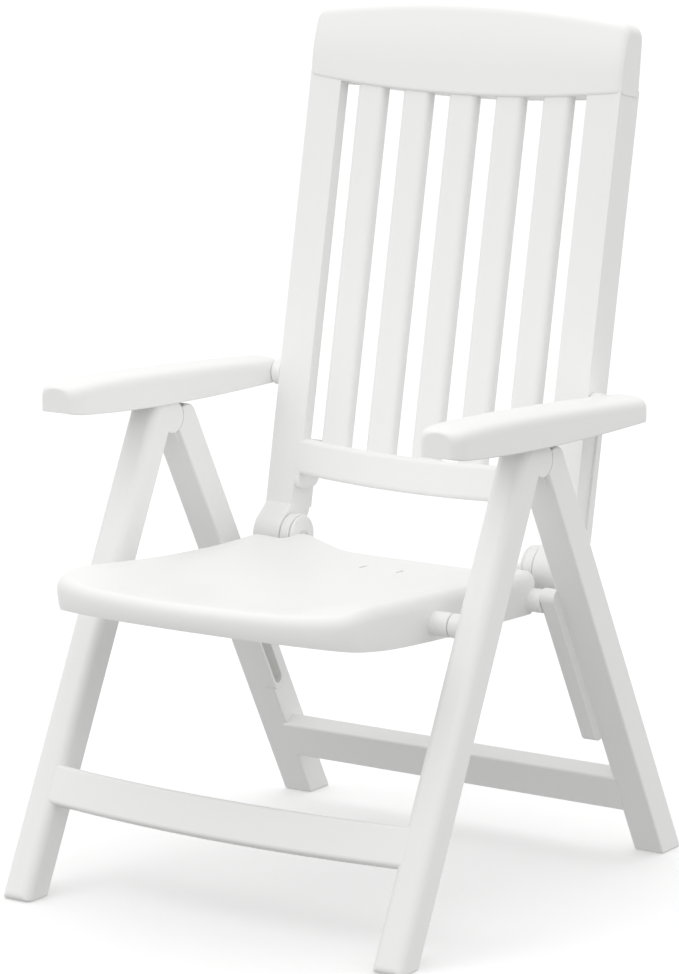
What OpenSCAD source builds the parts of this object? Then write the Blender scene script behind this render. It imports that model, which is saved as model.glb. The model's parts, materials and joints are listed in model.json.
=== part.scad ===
// Folding high-back garden armchair in moulded resin.
// X runs across the chair, -Y is its front, +Z is up, and Z = 0 is the ground.
// The origin is the centre of the footprint. All sizes are in millimetres.

/* [Overall] */
// Width over both armrests
overall_w = 620; // [616:1:630]
// Height of the main leg pivot
pivot_h = 568; // [560:1:576]
// Distance of the main leg pivot behind the origin
pivot_y = 6; // [2:1:10]

/* [Legs] */
// Width of a leg across the chair
leg_w = 43; // [40:1:44]
// Depth of a leg from front to rear
leg_t = 41; // [38:1:42]
// Lean of the front legs, their tops to the rear
front_lean = 25.9; // [25:0.1:27]
// Lean of the rear legs, their tops to the front
rear_lean = 28.65; // [28:0.05:29.5]
// Offset of the pivot from each leg's centreline
leg_offset = 22.5; // [22:0.5:24]
// Radius of the pivot knuckle
knuckle_r = 20.5; // [18:0.5:21]

/* [Rails] */
// Height of the top of the front cross rail
front_rail_top = 157; // [150:1:165]
// Height of the front cross rail's face
front_rail_h = 54; // [45:1:58]
// Forward bow of the front cross rail at its middle
front_rail_bow = 22; // [10:1:26]
// Height of the rear cross rail's face, along the rear legs
rear_rail_h = 60; // [50:1:62]
// Thickness of a cross rail
rail_t = 26; // [22:1:28]

/* [Seat] */
// Height of the seat's own pivot
seat_pivot_h = 377; // [374:1:380]
// Distance of the seat's own pivot in front of the origin
seat_pivot_y = 103; // [101:1:105]
// Half width of the seat at its skirt
seat_half_w = 219; // [214:1:222]
// Height of the seat's rim at its front
seat_front_h = 438; // [432:1:440]
// Height of the seat's rim at its rear
seat_rear_h = 401; // [398:1:403]
// Depth of the side skirt
skirt_h = 54; // [48:1:56]
// Wall thickness of the seat shell
seat_wall = 5; // [4:0.5:7]

/* [Backrest] */
// Distance of the back hinge behind the origin
hinge_y = 181; // [179:1:183]
// Height of the back hinge
hinge_h = 392; // [390:1:394]
// Lean of the backrest in its upright position
back_lean = 11; // [9:0.5:13]
// Half width of the backrest
back_half_w = 234; // [230:1:234]
// Height of the backrest above its hinge, along its lean, at the corners
back_len = 692; // [680:1:700]
// Width of a side stile
stile_w = 48; // [44:1:50]
// Depth of a side stile
stile_t = 48; // [42:1:50]
// Width of one slat
slat_w = 42; // [36:1:46]
// Thickness of one slat
slat_t = 20; // [16:1:24]
// Height of the head cap at its corners
cap_h = 88; // [80:1:95]

/* [Armrests] */
// Width of an armrest
arm_w = 62; // [60:1:64]
// Height of the armrest pivot
arm_pivot_h = 597; // [595:1:599]
// Distance of the armrest pivot behind the origin
arm_pivot_y = 232; // [230:1:234]
// Height of an armrest's crown near its front end
arm_top = 639; // [635:1:641]
// Number of recline positions in the armrest's rack
rack_notches = 5; // [3:1:5]

/* [Hidden] */
resin = "whitesmoke";
pin_resin = "silver";
left = -1;
right = 1;
fit = 0.05;                 // radial clearance of a pin in its bore
gap = 0.4;                  // side clearance between moving faces
round_fn = 64;
small_fn = 32;
far = 900;                  // longer than any cut needs

// Side view points are [y, z].
leg_pivot = [pivot_y, pivot_h];
seat_pivot = [-seat_pivot_y, seat_pivot_h];
back_hinge = [hinge_y, hinge_h];
arm_pivot = [arm_pivot_y, arm_pivot_h];
front_up = [sin(front_lean), cos(front_lean)];
front_rearward = [cos(front_lean), -sin(front_lean)];
rear_down = [sin(rear_lean), -cos(rear_lean)];
lock_rise = 28;             // lock pin above the pivot, along the front leg
lock_pin = leg_pivot - leg_offset * front_rearward + lock_rise * front_up;

// The seat pivot, the slide pin and the leg pivot form an isosceles triangle, so
// the seat turns twice as far as the rear legs.
seat_link = norm(seat_pivot - leg_pivot);
link_angle = atan2(leg_pivot[0] - seat_pivot[0], leg_pivot[1] - seat_pivot[1]) + rear_lean;
fold_limit = 50;
slide_open = 2 * seat_link * cos(link_angle);
slide_folded = 2 * seat_link * cos(link_angle - fold_limit);
slide_pin = leg_pivot + slide_open * rear_down;

// Places across the chair, on the right-hand side
leg_out = overall_w / 2 - 13;
leg_in = leg_out - leg_w;
cheek_w = 8;
track_in = leg_in - 17.5;
arm_out = overall_w / 2;
arm_in = arm_out - arm_w;
arm_wall = 4;
arm_outer_wall = 5;
hinge_gap_x = back_half_w - 41;
boss_out = track_in - gap - 0.6;

// Pins
pivot_pin_r = 6;
lock_pin_r = 5;
seat_pin_r = 7;
hinge_pin_r = 7;
slide_pin_r = 7.5;
slide_play = 0.5;           // clearance of the slide pin in its slot
lock_cheek_r = 11;
boss_r = 15;
hinge_r = 30;
seat_hinge_r = 27;
hinge_disc_r = 28;
hinge_disc_w = 14;          // with its side clearance
spacer_r = 17;

leg_len = 700;
foot_rear_y = leg_pivot[0] + (leg_offset + leg_t / 2) * cos(rear_lean)
    + (pivot_h + (leg_offset + leg_t / 2) * sin(rear_lean)) * tan(rear_lean);
seat_front_y = -foot_rear_y;
seat_rear_y = hinge_y + 2;
stile_front = -5;           // front faces of the stiles, ahead of the hinge
slat_pitch = (back_half_w - stile_w / 2) / 3;
lower_rail_s = [80, 127];   // lower back rail, along the backrest from the hinge
cap_s = back_len - cap_h;
track_w = 23;
rear_rail_s = 521;          // top of the rear cross rail, along the rear leg

// Draws a side view outline as a slab between two places across the chair.
module slab(x0, x1) {
    translate([x0, 0, 0]) rotate([90, 0, 90]) linear_extrude(x1 - x0) children();
}

// A cylinder across the chair at a side view point
module cross_rod(at, r, x0, x1, fn = round_fn) {
    translate([x0, at[0], at[1]]) rotate([0, 90, 0]) cylinder(r = r, h = x1 - x0, $fn = fn);
}

// Right-hand shapes are mirrored for the left-hand side.
module sided(side) {
    mirror([side == left ? 1 : 0, 0, 0]) children();
}

// Local axes of the front legs, rear legs and backrest: X to the rear, Y up along the lean
module on_front_leg() { translate(leg_pivot) rotate(-front_lean) children(); }
module on_rear_leg() { translate(leg_pivot) rotate(rear_lean) children(); }
module on_back() { translate(back_hinge) rotate(-back_lean) children(); }
module disc(at, r, fn = round_fn) { translate(at) circle(r, $fn = fn); }
module above_ground() { translate([-far, 0]) square([2 * far, 2 * far]); }

// ---------- front legs ----------
module front_leg_body() {
    head_rise = 10;
    intersection() {
        above_ground();
        union() {
            on_front_leg() {
                translate([-leg_offset - leg_t / 2, -leg_len]) square([leg_t, leg_len + head_rise]);
                translate([-leg_offset - lock_cheek_r, 0]) square([2 * lock_cheek_r, lock_rise]);
            }
            disc(lock_pin, lock_cheek_r);
            disc(leg_pivot, knuckle_r);
        }
    }
}

module front_leg(side) {
    color(resin) sided(side) difference() {
        slab(leg_in, leg_out) front_leg_body();
        // Pocket for the rear leg's tongue and, above it, for the lock pin and the rack
        slab(leg_in + cheek_w, leg_out - cheek_w) {
            disc(leg_pivot, knuckle_r + 0.3);
            on_front_leg() translate([-far / 2, 16]) square([far, far]);
            on_front_leg() translate([-leg_offset + leg_t / 2 - 3, -25]) square([far, far]);
        }
        cross_rod(leg_pivot, pivot_pin_r + fit, leg_in - 1, leg_out + 1);
        cross_rod(lock_pin, lock_pin_r + fit, leg_in - 1, leg_out + 1);
    }
}

// Boss on the inner face of a front leg, in which the seat's pivot pin is fixed
module seat_pivot_boss(side) {
    color(resin) sided(side) difference() {
        cross_rod(seat_pivot, boss_r, track_in, leg_in);
        cross_rod(seat_pivot, seat_pin_r + fit, track_in - 1, leg_in + 1);
    }
}

module leg_pivot_pin(side) {
    color(pin_resin) sided(side) cross_rod(leg_pivot, pivot_pin_r, leg_in + 0.5, leg_out - 0.5);
}

module lock_pin_rod(side) {
    color(pin_resin) sided(side) cross_rod(lock_pin, lock_pin_r, leg_in + 0.5, leg_out - 0.5);
}

module seat_pivot_pin(side) {
    color(pin_resin) sided(side) cross_rod(seat_pivot, seat_pin_r, seat_half_w - 16, leg_in - 0.2);
}

// The front rail bows forward between the legs, as a stretch of a ring.
module front_cross_rail() {
    chord = leg_in;
    bow_r = (chord * chord + front_rail_bow * front_rail_bow) / (2 * front_rail_bow);
    end_y = leg_pivot[0] - leg_offset * front_rearward[0]
        - (pivot_h - front_rail_top + front_rail_h) * tan(front_lean);
    color(resin) intersection() {
        translate([0, end_y + bow_r - front_rail_bow, front_rail_top - front_rail_h])
            rotate_extrude($fn = 360) translate([bow_r - rail_t / 2, 0])
                square([rail_t, front_rail_h]);
        translate([-chord, end_y - far, 0]) cube([2 * chord, far + rail_t, far]);
    }
}

// ---------- rear legs ----------
module rear_leg_body() {
    intersection() {
        above_ground();
        difference() {
            on_rear_leg() {
                translate([leg_offset - leg_t / 2, -leg_len]) square([leg_t, leg_len - leg_t / 2]);
                disc([leg_offset, -leg_t / 2], leg_t / 2);
            }
            disc(leg_pivot, knuckle_r + 0.6);
        }
    }
}

module rear_leg(side) {
    tongue_r = knuckle_r - 0.5;
    color(resin) sided(side) difference() {
        union() {
            slab(leg_in, leg_out) rear_leg_body();
            slab(leg_in + cheek_w + gap, leg_out - cheek_w - gap) {
                disc(leg_pivot, tongue_r);
                on_rear_leg() translate([0, -leg_t]) square([leg_offset, leg_t - 4]);
            }
        }
        cross_rod(leg_pivot, pivot_pin_r + fit, leg_in - 1, leg_out + 1);
    }
}

// Slotted track on the inner face of a rear leg, in which the slide pin runs
module slide_track(side) {
    slot_r = slide_pin_r + slide_play;
    color(resin) sided(side) difference() {
        slab(track_in, leg_in) on_rear_leg() {
            translate([-track_w / 2, -slide_folded - 8]) square([track_w, slide_folded - slide_open + 16]);
            for (s = [slide_open + 8, slide_folded + 8]) disc([0, -s], track_w / 2);
            translate([0, -slide_folded - 8]) square([leg_offset, 120]);
        }
        slab(track_in - 1, leg_in - 2) on_rear_leg() {
            translate([-slot_r, -slide_folded]) square([2 * slot_r, slide_folded - slide_open]);
            for (s = [slide_open, slide_folded]) disc([0, -s], slot_r);
        }
    }
}

module rear_cross_rail() {
    color(resin) slab(-leg_in, leg_in) on_rear_leg()
        translate([leg_offset - leg_t / 2 - 3, -rear_rail_s - rear_rail_h]) square([rail_t, rear_rail_h]);
}

// ---------- seat ----------
// Height of the seat's rim at a place from front to rear
function rim_h(y) = seat_rear_h + (seat_front_h - seat_rear_h) * pow(max(0, (140 - y)) / (140 - seat_front_y), 1.7);

module seat_side_outline(drop, lower) {
    ys = [for (i = [0 : 12]) seat_front_y + i * (seat_rear_y - seat_front_y) / 12];
    polygon(concat(
        [for (y = ys) [y, rim_h(y) - drop]],
        [for (i = [12 : -1 : 0]) [ys[i], rim_h(ys[i]) - lower]]
    ));
}

module seat_plan(inset) {
    bow = 40;
    corner_r = 30;
    half = seat_half_w - corner_r;
    offset(r = corner_r - inset, $fn = small_fn) polygon(concat(
        [[half, seat_rear_y], [-half, seat_rear_y]],
        [for (i = [-4 : 4]) [i * half / 4, seat_front_y + corner_r + bow * pow(i / 4, 2)]]
    ));
}

module seat_shell() {
    dish = 20;
    knuckle_room = 49;
    color(resin) difference() {
        union() {
            intersection() {
                slab(-seat_half_w, seat_half_w) seat_side_outline(0, skirt_h);
                linear_extrude(far) seat_plan(0);
            }
            for (side = [left, right]) sided(side) {
                cross_rod(seat_pivot, boss_r, seat_half_w - 18, boss_out);
                cross_rod(slide_pin, boss_r, seat_half_w - 18, boss_out);
                slab(hinge_gap_x - 27, hinge_gap_x - hinge_disc_w - gap) {
                    disc(back_hinge, seat_hinge_r);
                    translate([hinge_y - 60, seat_rear_h - skirt_h]) square([60, skirt_h - 16]);
                }
            }
        }
        // Hollow underside
        intersection() {
            slab(-seat_half_w + seat_wall, seat_half_w - seat_wall)
                seat_side_outline(dish + seat_wall, skirt_h + 40);
            linear_extrude(far) difference() {
                seat_plan(seat_wall);
                for (side = [left, right], at = [seat_pivot, slide_pin])
                    translate([side * (seat_half_w - 10), at[0]]) square([20, 2 * boss_r], center = true);
                for (side = [left, right])
                    translate([side * (hinge_gap_x - 18), 160]) square([36, 80], center = true);
                translate([0, seat_rear_y]) square([2 * far, 2 * seat_wall], center = true);
            }
        }
        // Dished sitting surface
        intersection() {
            slab(-seat_half_w + 34, seat_half_w - 34) seat_side_outline(-60, dish);
            linear_extrude(far) seat_plan(34);
        }
        // Room for the backrest's knuckles
        for (side = [left, right]) sided(side) {
            translate([hinge_gap_x - gap, hinge_y - knuckle_room, 0]) cube([far, far, far]);
            cross_rod(seat_pivot, seat_pin_r + fit, seat_half_w - 17, far / 2);
            cross_rod(slide_pin, slide_pin_r + fit, seat_half_w - 17, far / 2);
            cross_rod(back_hinge, hinge_pin_r + fit, hinge_gap_x - 25, far / 2);
            cross_rod(back_hinge, hinge_disc_r + 0.5, hinge_gap_x - hinge_disc_w - gap, far / 2);
            // Drain slit
            translate([28, 103, 0]) cube([3, 17, 2 * far], center = true);
        }
    }
}

module slide_pin_rod(side) {
    color(pin_resin) sided(side) cross_rod(slide_pin, slide_pin_r, seat_half_w - 16, leg_in - 3);
}

// ---------- backrest ----------
module back_hinge_pin(side) {
    color(pin_resin) sided(side)
        cross_rod(back_hinge, hinge_pin_r, hinge_gap_x - 24, back_half_w - 2);
}

// Disc on the hinge pin, between the seat's ear and the stile's knuckle
module back_hinge_disc(side) {
    color(resin) sided(side) difference() {
        cross_rod(back_hinge, hinge_disc_r, hinge_gap_x - hinge_disc_w, hinge_gap_x - gap);
        cross_rod(back_hinge, hinge_pin_r + fit, 0, back_half_w);
    }
}

module stile_outline() {
    on_back() {
        hull() {
            disc([0, 0], hinge_r);
            translate([stile_front, 40]) square([stile_t, 1]);
        }
        translate([stile_front, 40]) square([stile_t, cap_s - 40]);
    }
}

module back_stile(side) {
    flange_t = 18;
    wall = 10;
    color(resin) sided(side) difference() {
        union() {
            difference() {
                intersection() {
                    slab(back_half_w - stile_w, back_half_w) stile_outline();
                    // The stile is narrower at the hinge than above the lower rail
                    union() {
                        translate([hinge_gap_x + gap, -far, 0]) cube([far, 2 * far, 2 * far]);
                        translate([0, -far, hinge_h + 60]) cube([far, 2 * far, 2 * far]);
                    }
                }
                // Above the lower rail it is an angle, open behind
                slab(0, back_half_w - wall) on_back()
                    translate([stile_front + flange_t, lower_rail_s[1] + 6])
                        square([stile_t, cap_s - lower_rail_s[1] - 12]);
            }
            cross_rod(arm_pivot, pivot_pin_r + 5, back_half_w - 25, back_half_w - 1);
        }
        cross_rod(back_hinge, hinge_pin_r + fit, 0, back_half_w - 1.5);
        cross_rod(arm_pivot, pivot_pin_r + fit, back_half_w - 25, far / 2);
    }
}

module lower_back_rail() {
    half = back_half_w - stile_w;
    color(resin) slab(-half, half) on_back()
        translate([stile_front - 3, lower_rail_s[0]])
            square([slat_t + 4, lower_rail_s[1] - lower_rail_s[0]]);
}

module back_slat(i) {
    mid = (i - 3) * slat_pitch;
    color(resin) slab(mid - slat_w / 2, mid + slat_w / 2) on_back()
        translate([stile_front + 2, lower_rail_s[1]]) square([slat_t, cap_s - lower_rail_s[1]]);
}

module head_cap() {
    crown = 16;
    cap_r = (back_half_w * back_half_w + crown * crown) / (2 * crown);
    front = stile_front - 3;
    color(resin) translate([0, hinge_y, hinge_h]) rotate([90 - back_lean, 0, 0])
        translate([0, 0, -front - stile_t]) linear_extrude(stile_t + 2) intersection() {
            translate([-back_half_w, cap_s]) square([2 * back_half_w, cap_h + crown]);
            translate([0, back_len + crown - cap_r]) circle(cap_r, $fn = 720);
        }
}

// ---------- armrests ----------
// The armrest pivots at its rear end on the backrest and rests on the lock pin, which
// runs under its rack. Points are [y, z].
module arm_outline(inset) {
    top = arm_top - inset;
    polygon([
        [-210 + inset, 602], [-154, 593 - inset], [-61, 588 - inset], [35, 585 - inset],
        [127, 583 - inset], [244 - inset, 583 - inset], [244 - inset, top - 24], [207, top - 21],
        [127, top - 15], [34, top - 8], [-70, top - 2], [-159, top], [-196 + inset, top - 4]
    ]);
}

module armrest(side) {
    rack_half = 10;
    rack_mid = (leg_in + leg_out) / 2;
    rack_tip = lock_pin[1] + lock_pin_r + 2;
    notch_step = 29;
    color(resin) sided(side) difference() {
        union() {
            difference() {
                slab(arm_in, arm_out) arm_outline(0);
                slab(arm_in + arm_wall, arm_out - arm_outer_wall) arm_outline(arm_wall);
            }
            // Rack of notches under the top wall
            slab(rack_mid - rack_half, rack_mid + rack_half) intersection() {
                arm_outline(arm_wall - 1);
                translate([lock_pin[0] - 132, rack_tip]) square([145, 40]);
            }
            // Thicker wall around the pivot
            cross_rod(arm_pivot, 11, arm_in, leg_in - gap);
        }
        for (i = [0 : rack_notches - 1])
            cross_rod([lock_pin[0] - i * notch_step, rack_tip - 2.5], lock_pin_r + 1, leg_in, leg_out);
        cross_rod(arm_pivot, pivot_pin_r + fit, 0, leg_in + 1);
    }
}

module arm_pivot_pin(side) {
    color(pin_resin) sided(side)
        cross_rod(arm_pivot, pivot_pin_r, back_half_w - 24, leg_in - 0.6);
}

// Spacer on the armrest's pin, between the stile and the armrest
module arm_spacer(side) {
    color(resin) sided(side) difference() {
        cross_rod(arm_pivot, spacer_r, back_half_w + gap, arm_in - gap);
        cross_rod(arm_pivot, pivot_pin_r + fit, 0, arm_out);
    }
}

front_leg(left);  // front_leg_left
front_leg(right);  // front_leg_right
front_cross_rail();
leg_pivot_pin(left);  // leg_pivot_pin_left
leg_pivot_pin(right);  // leg_pivot_pin_right
lock_pin_rod(left);  // lock_pin_left
lock_pin_rod(right);  // lock_pin_right
seat_pivot_boss(left);  // seat_pivot_boss_left
seat_pivot_boss(right);  // seat_pivot_boss_right
seat_pivot_pin(left);  // seat_pivot_pin_left
seat_pivot_pin(right);  // seat_pivot_pin_right
rear_leg(left);  // rear_leg_left
rear_leg(right);  // rear_leg_right
rear_cross_rail();
slide_track(left);  // slide_track_left
slide_track(right);  // slide_track_right
seat_shell();
slide_pin_rod(left);  // slide_pin_left
slide_pin_rod(right);  // slide_pin_right
back_hinge_pin(left);  // back_hinge_pin_left
back_hinge_pin(right);  // back_hinge_pin_right
back_hinge_disc(left);  // back_hinge_disc_left
back_hinge_disc(right);  // back_hinge_disc_right
back_stile(left);  // back_stile_left
back_stile(right);  // back_stile_right
lower_back_rail();
back_slat(1);  // back_slat_1
back_slat(2);  // back_slat_2
back_slat(3);  // back_slat_3
back_slat(4);  // back_slat_4
back_slat(5);  // back_slat_5
head_cap();
arm_pivot_pin(left);  // arm_pivot_pin_left
arm_pivot_pin(right);  // arm_pivot_pin_right
arm_spacer(left);  // arm_spacer_left
arm_spacer(right);  // arm_spacer_right
armrest(left);  // armrest_left
armrest(right);  // armrest_right
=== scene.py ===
"""Folding reclining garden armchair in moulded resin: the finished pieces around the CAD frame.

Laid out as a Blender add-on and run as a script. Lengths are in metres, in the CAD frame: +X to the
right-hand armrest, -Y to the front, +Z up, Z = 0 on the ground.
"""

import json
import math

import bmesh
import bpy
from bpy.props import FloatProperty, FloatVectorProperty, IntProperty, PointerProperty
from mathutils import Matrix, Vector
from mathutils.geometry import convex_hull_2d


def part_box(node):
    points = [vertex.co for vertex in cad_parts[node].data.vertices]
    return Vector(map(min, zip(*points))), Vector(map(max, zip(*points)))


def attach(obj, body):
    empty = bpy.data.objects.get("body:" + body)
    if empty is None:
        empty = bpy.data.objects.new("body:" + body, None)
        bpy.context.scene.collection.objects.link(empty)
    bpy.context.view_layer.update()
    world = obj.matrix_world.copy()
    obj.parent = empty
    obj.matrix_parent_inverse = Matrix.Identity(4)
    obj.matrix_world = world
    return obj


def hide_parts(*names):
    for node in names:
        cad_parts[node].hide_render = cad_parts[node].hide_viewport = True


bl_info = {
    "name": "Folding Resin Armchair",
    "version": (1, 0, 0),
    "blender": (4, 5, 0),
    "location": "View3D > Sidebar > Armchair",
    "description": "Builds the finished pieces of a folding, reclining resin armchair",
    "category": "Object",
}

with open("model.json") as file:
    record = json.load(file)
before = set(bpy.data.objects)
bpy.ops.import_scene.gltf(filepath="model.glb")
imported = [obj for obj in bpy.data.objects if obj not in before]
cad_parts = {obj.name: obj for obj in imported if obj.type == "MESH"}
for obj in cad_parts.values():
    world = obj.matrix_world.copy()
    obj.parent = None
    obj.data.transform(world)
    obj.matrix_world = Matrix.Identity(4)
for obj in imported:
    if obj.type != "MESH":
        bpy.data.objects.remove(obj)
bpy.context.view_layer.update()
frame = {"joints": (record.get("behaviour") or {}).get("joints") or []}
PIVOT = {joint["name"]: Vector(joint["pos_m"]) for joint in frame["joints"]}
SIDES = (("left", -1), ("right", 1))

# Boxes of the right-hand nodes, as (low corner, high corner)
LEG_LOW, LEG_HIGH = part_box("rear_leg_right")
ARM_LOW, ARM_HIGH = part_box("armrest_right")
STILE_LOW, STILE_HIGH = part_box("back_stile_right")
SEAT_LOW, SEAT_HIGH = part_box("seat_shell")
BOSS_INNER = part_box("seat_pivot_boss_right")[0].x

# Sizes that more than one piece goes by
CHEEK = 0.008        # thickness of a front leg beside the rear leg's tongue
LOCK_RISE = 0.028    # height of the lock pin above the leg pivot, along the front leg
BOSS_RADIUS = 0.015  # of the round bosses on the seat and the front legs
SLAT_HEAD = 0.612    # where slats and stiles end inside the head cap, along the backrest
SEAT_LEVEL_Y = 0.14  # behind this place the seat's rim is level; ahead of it the rim climbs
SEAT_CLIMB = 1.7     # power of that climb


# ---------------------------------------------------------------- settings
def length(name, text, value):
    return FloatProperty(name=name, description=text, default=value, min=0.0, unit="LENGTH", precision=4)


def lean(name, text, degrees):
    return FloatProperty(name=name, description=text, default=math.radians(degrees), unit="ROTATION")


def colour(name, text, value):
    return FloatVectorProperty(name=name, description=text, default=value, size=3, subtype="COLOR",
                               min=0.0, max=1.0)


class ChairLegs(bpy.types.PropertyGroup):
    front_lean: lean("Front lean", "Lean of the front legs", 25.9)
    rear_lean: lean("Rear lean", "Lean of the rear legs", 28.65)
    depth: length("Leg depth", "Depth of a leg from front to rear", 0.041)
    offset: length("Pivot offset", "Distance of the pivot from a leg's centreline", 0.0225)
    knuckle: length("Knuckle radius", "Radius of the pivot knuckle", 0.0205)
    front_round: length("Front rounding", "Rounding of a front leg's front edges", 0.0125)
    edge_round: length("Edge rounding", "Rounding of the other leg edges", 0.0026)


class ChairBack(bpy.types.PropertyGroup):
    lean: lean("Back lean", "Lean of the upright backrest", 11.0)
    front: length("Front", "Depth of the stiles ahead of the hinge", 0.005)
    stile_depth: length("Stile depth", "Depth of a side stile", 0.048)
    stile_round: length("Stile rounding", "Rounding of the stiles' front edges", 0.009)
    slat_width: length("Slat width", "Width of one slat", 0.042)
    slat_depth: length("Slat depth", "Depth of one slat", 0.020)
    slat_count: IntProperty(name="Slats", description="Number of slats", default=5, min=1, max=9)
    cap_crown: length("Cap crown", "Rise of the head cap's top edge at its middle", 0.016)
    cap_droop: length("Cap droop", "Drop of the head cap's lower edge at its middle", 0.014)


class ChairSeat(bpy.types.PropertyGroup):
    wall: length("Wall", "Wall thickness of the seat shell", 0.004)
    roll: length("Roll", "Radius of the rolled rim", 0.016)
    middle: length("Middle", "Drop of the seat's middle below its raised sides", 0.013)
    dish: length("Dish", "Further depth of the dished sitting surface", 0.007)


class ChairArms(bpy.types.PropertyGroup):
    round_top: length("Top rounding", "Rounding of the armrest's top edges", 0.012)
    wall: length("Wall", "Wall thickness of an armrest", 0.004)


class ChairFinish(bpy.types.PropertyGroup):
    resin: colour("Resin", "Colour of the moulded resin", (0.80, 0.803, 0.805))
    pin: colour("Pins", "Colour of the hinge pins", (0.62, 0.625, 0.63))
    gloss: FloatProperty(name="Roughness", description="Roughness of the moulded resin", default=0.34,
                         min=0.0, max=1.0, subtype="FACTOR")


# ---------------------------------------------------------------- shader expressions
class Sock:
    """A shader socket that adds a Math node for each operator used on it."""

    def __init__(self, tree, socket):
        self.tree = tree
        self.socket = socket

    def _math(self, operation, *values):
        return node_out(self.tree, "ShaderNodeMath", {"operation": operation}, dict(enumerate(values)))

    def __add__(self, other):
        return self._math("ADD", self, other)

    def __radd__(self, other):
        return self._math("ADD", other, self)

    def __sub__(self, other):
        return self._math("SUBTRACT", self, other)

    def __rsub__(self, other):
        return self._math("SUBTRACT", other, self)

    def __mul__(self, other):
        return self._math("MULTIPLY", self, other)

    def __rmul__(self, other):
        return self._math("MULTIPLY", other, self)

    def smoothstep(self, low, high):
        settings = {"interpolation_type": "SMOOTHSTEP"}
        return node_out(self.tree, "ShaderNodeMapRange", settings, {0: self, 1: low, 2: high})


def new_node(tree, kind, settings=None, values=None):
    """Adds a node, makes its settings, then fills its sockets with values or links."""
    node = tree.nodes.new(kind)
    for key, value in (settings or {}).items():
        setattr(node, key, value)
    for key, value in (values or {}).items():
        if isinstance(value, Sock):
            tree.links.new(value.socket, node.inputs[key])
        else:
            node.inputs[key].default_value = value
    return node


def node_out(tree, kind, settings=None, values=None, output=0):
    return Sock(tree, new_node(tree, kind, settings, values).outputs[output])


def moulded_resin(name, tint, roughness, mottling=0.012, grain=0.05):
    """Injection-moulded resin: even colour, a fine skin texture and slow changes of gloss."""
    material = bpy.data.materials.new(name)
    material.use_nodes = True
    tree = material.node_tree
    shader = tree.nodes["Principled BSDF"]
    place = node_out(tree, "ShaderNodeTexCoord", output=3)
    flow = node_out(tree, "ShaderNodeTexNoise", values={"Vector": place, "Scale": 7.0, "Detail": 3.0})
    skin = node_out(tree, "ShaderNodeTexNoise", values={"Vector": place, "Scale": 900.0, "Detail": 2.0})
    ripple = node_out(tree, "ShaderNodeTexNoise", values={"Vector": place, "Scale": 38.0, "Detail": 2.0})
    darker = tuple(channel * (1.0 - 3.0 * mottling) for channel in tint)
    base = node_out(tree, "ShaderNodeMix", {"data_type": "RGBA"},
                    {0: flow.smoothstep(0.3, 0.7), 6: (*tint, 1.0), 7: (*darker, 1.0)}, output=2)
    tree.links.new(base.socket, shader.inputs["Base Color"])
    gloss = roughness - 0.04 + 0.08 * flow + 0.04 * skin
    tree.links.new(gloss.socket, shader.inputs["Roughness"])
    height = skin * 0.6 + ripple * 0.4
    bump = node_out(tree, "ShaderNodeBump", values={"Strength": grain, "Distance": 0.0004, "Height": height})
    tree.links.new(bump.socket, shader.inputs["Normal"])
    shader.inputs["IOR"].default_value = 1.49
    return material


def resin():
    finish = bpy.context.scene.chair_finish
    found = bpy.data.materials.get("white_resin")
    return found or moulded_resin("white_resin", finish.resin, finish.gloss)


def pin_resin():
    finish = bpy.context.scene.chair_finish
    found = bpy.data.materials.get("pin_resin")
    return found or moulded_resin("pin_resin", finish.pin, finish.gloss + 0.12, 0.02, 0.12)


# ---------------------------------------------------------------- mesh tools
class Lean:
    """A leaning side-view frame: offset runs to the rear and rise runs up along the lean."""

    def __init__(self, pivot, angle):
        self.origin = Vector((0.0, pivot.y, pivot.z))
        self.up = Vector((0.0, math.sin(angle), math.cos(angle)))
        self.rear = Vector((0.0, math.cos(angle), -math.sin(angle)))

    def at(self, x, offset, rise):
        return self.origin + Vector((x, 0.0, 0.0)) + offset * self.rear + rise * self.up

    def rise_at(self, offset, height):
        """Rise of the point at an offset that lies at a height above the ground."""
        return (height - self.origin.z - offset * self.rear.z) / self.up.z

    def local(self, point):
        """(offset, rise) of a point given as (y, z)."""
        away = Vector((0.0, point[0], point[1])) - self.origin
        return away.dot(self.rear), away.dot(self.up)


LEVEL = Lean(Vector((0.0, 0.0, 0.0)), 0.0)


def arc(centre, radius, start, end, steps=16):
    """Points of an arc, its angles in degrees from the first axis towards the second."""
    turns = [math.radians(start + (end - start) * i / steps) for i in range(steps + 1)]
    return [(centre[0] + radius * math.cos(t), centre[1] + radius * math.sin(t)) for t in turns]


def rounded(corners, radii, steps=6):
    """A closed outline with each corner turned into a smooth curve of about the given radius."""
    count = len(corners)
    outline = []
    for i in range(count):
        before, here, after = (Vector(corners[(i + k) % count]) for k in (-1, 0, 1))
        to_before, to_after = before - here, after - here
        reach = min(radii[i], 0.49 * to_before.length, 0.49 * to_after.length)
        start = here + to_before.normalized() * reach
        end = here + to_after.normalized() * reach
        for k in range(steps + 1):
            t = k / steps
            point = start * (1 - t) ** 2 + here * 2 * t * (1 - t) + end * t ** 2
            outline.append((point.x, point.y))
    return outline


def ease(share):
    """A smooth step from 0 to 1 as the share does."""
    share = min(1.0, max(0.0, share))
    return share * share * (3 - 2 * share)


def resample(points, count):
    """Points spaced evenly along a closed outline."""
    loop = points + [points[0]]
    ends = [0.0]
    for a, b in zip(loop, loop[1:]):
        ends.append(ends[-1] + (b - a).length)
    spaced = []
    k = 0
    for i in range(count):
        goal = ends[-1] * i / count
        while ends[k + 1] < goal:
            k += 1
        step = ends[k + 1] - ends[k]
        share = (goal - ends[k]) / step if step > 0 else 0.0
        spaced.append(loop[k].lerp(loop[k + 1], share))
    return spaced


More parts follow.
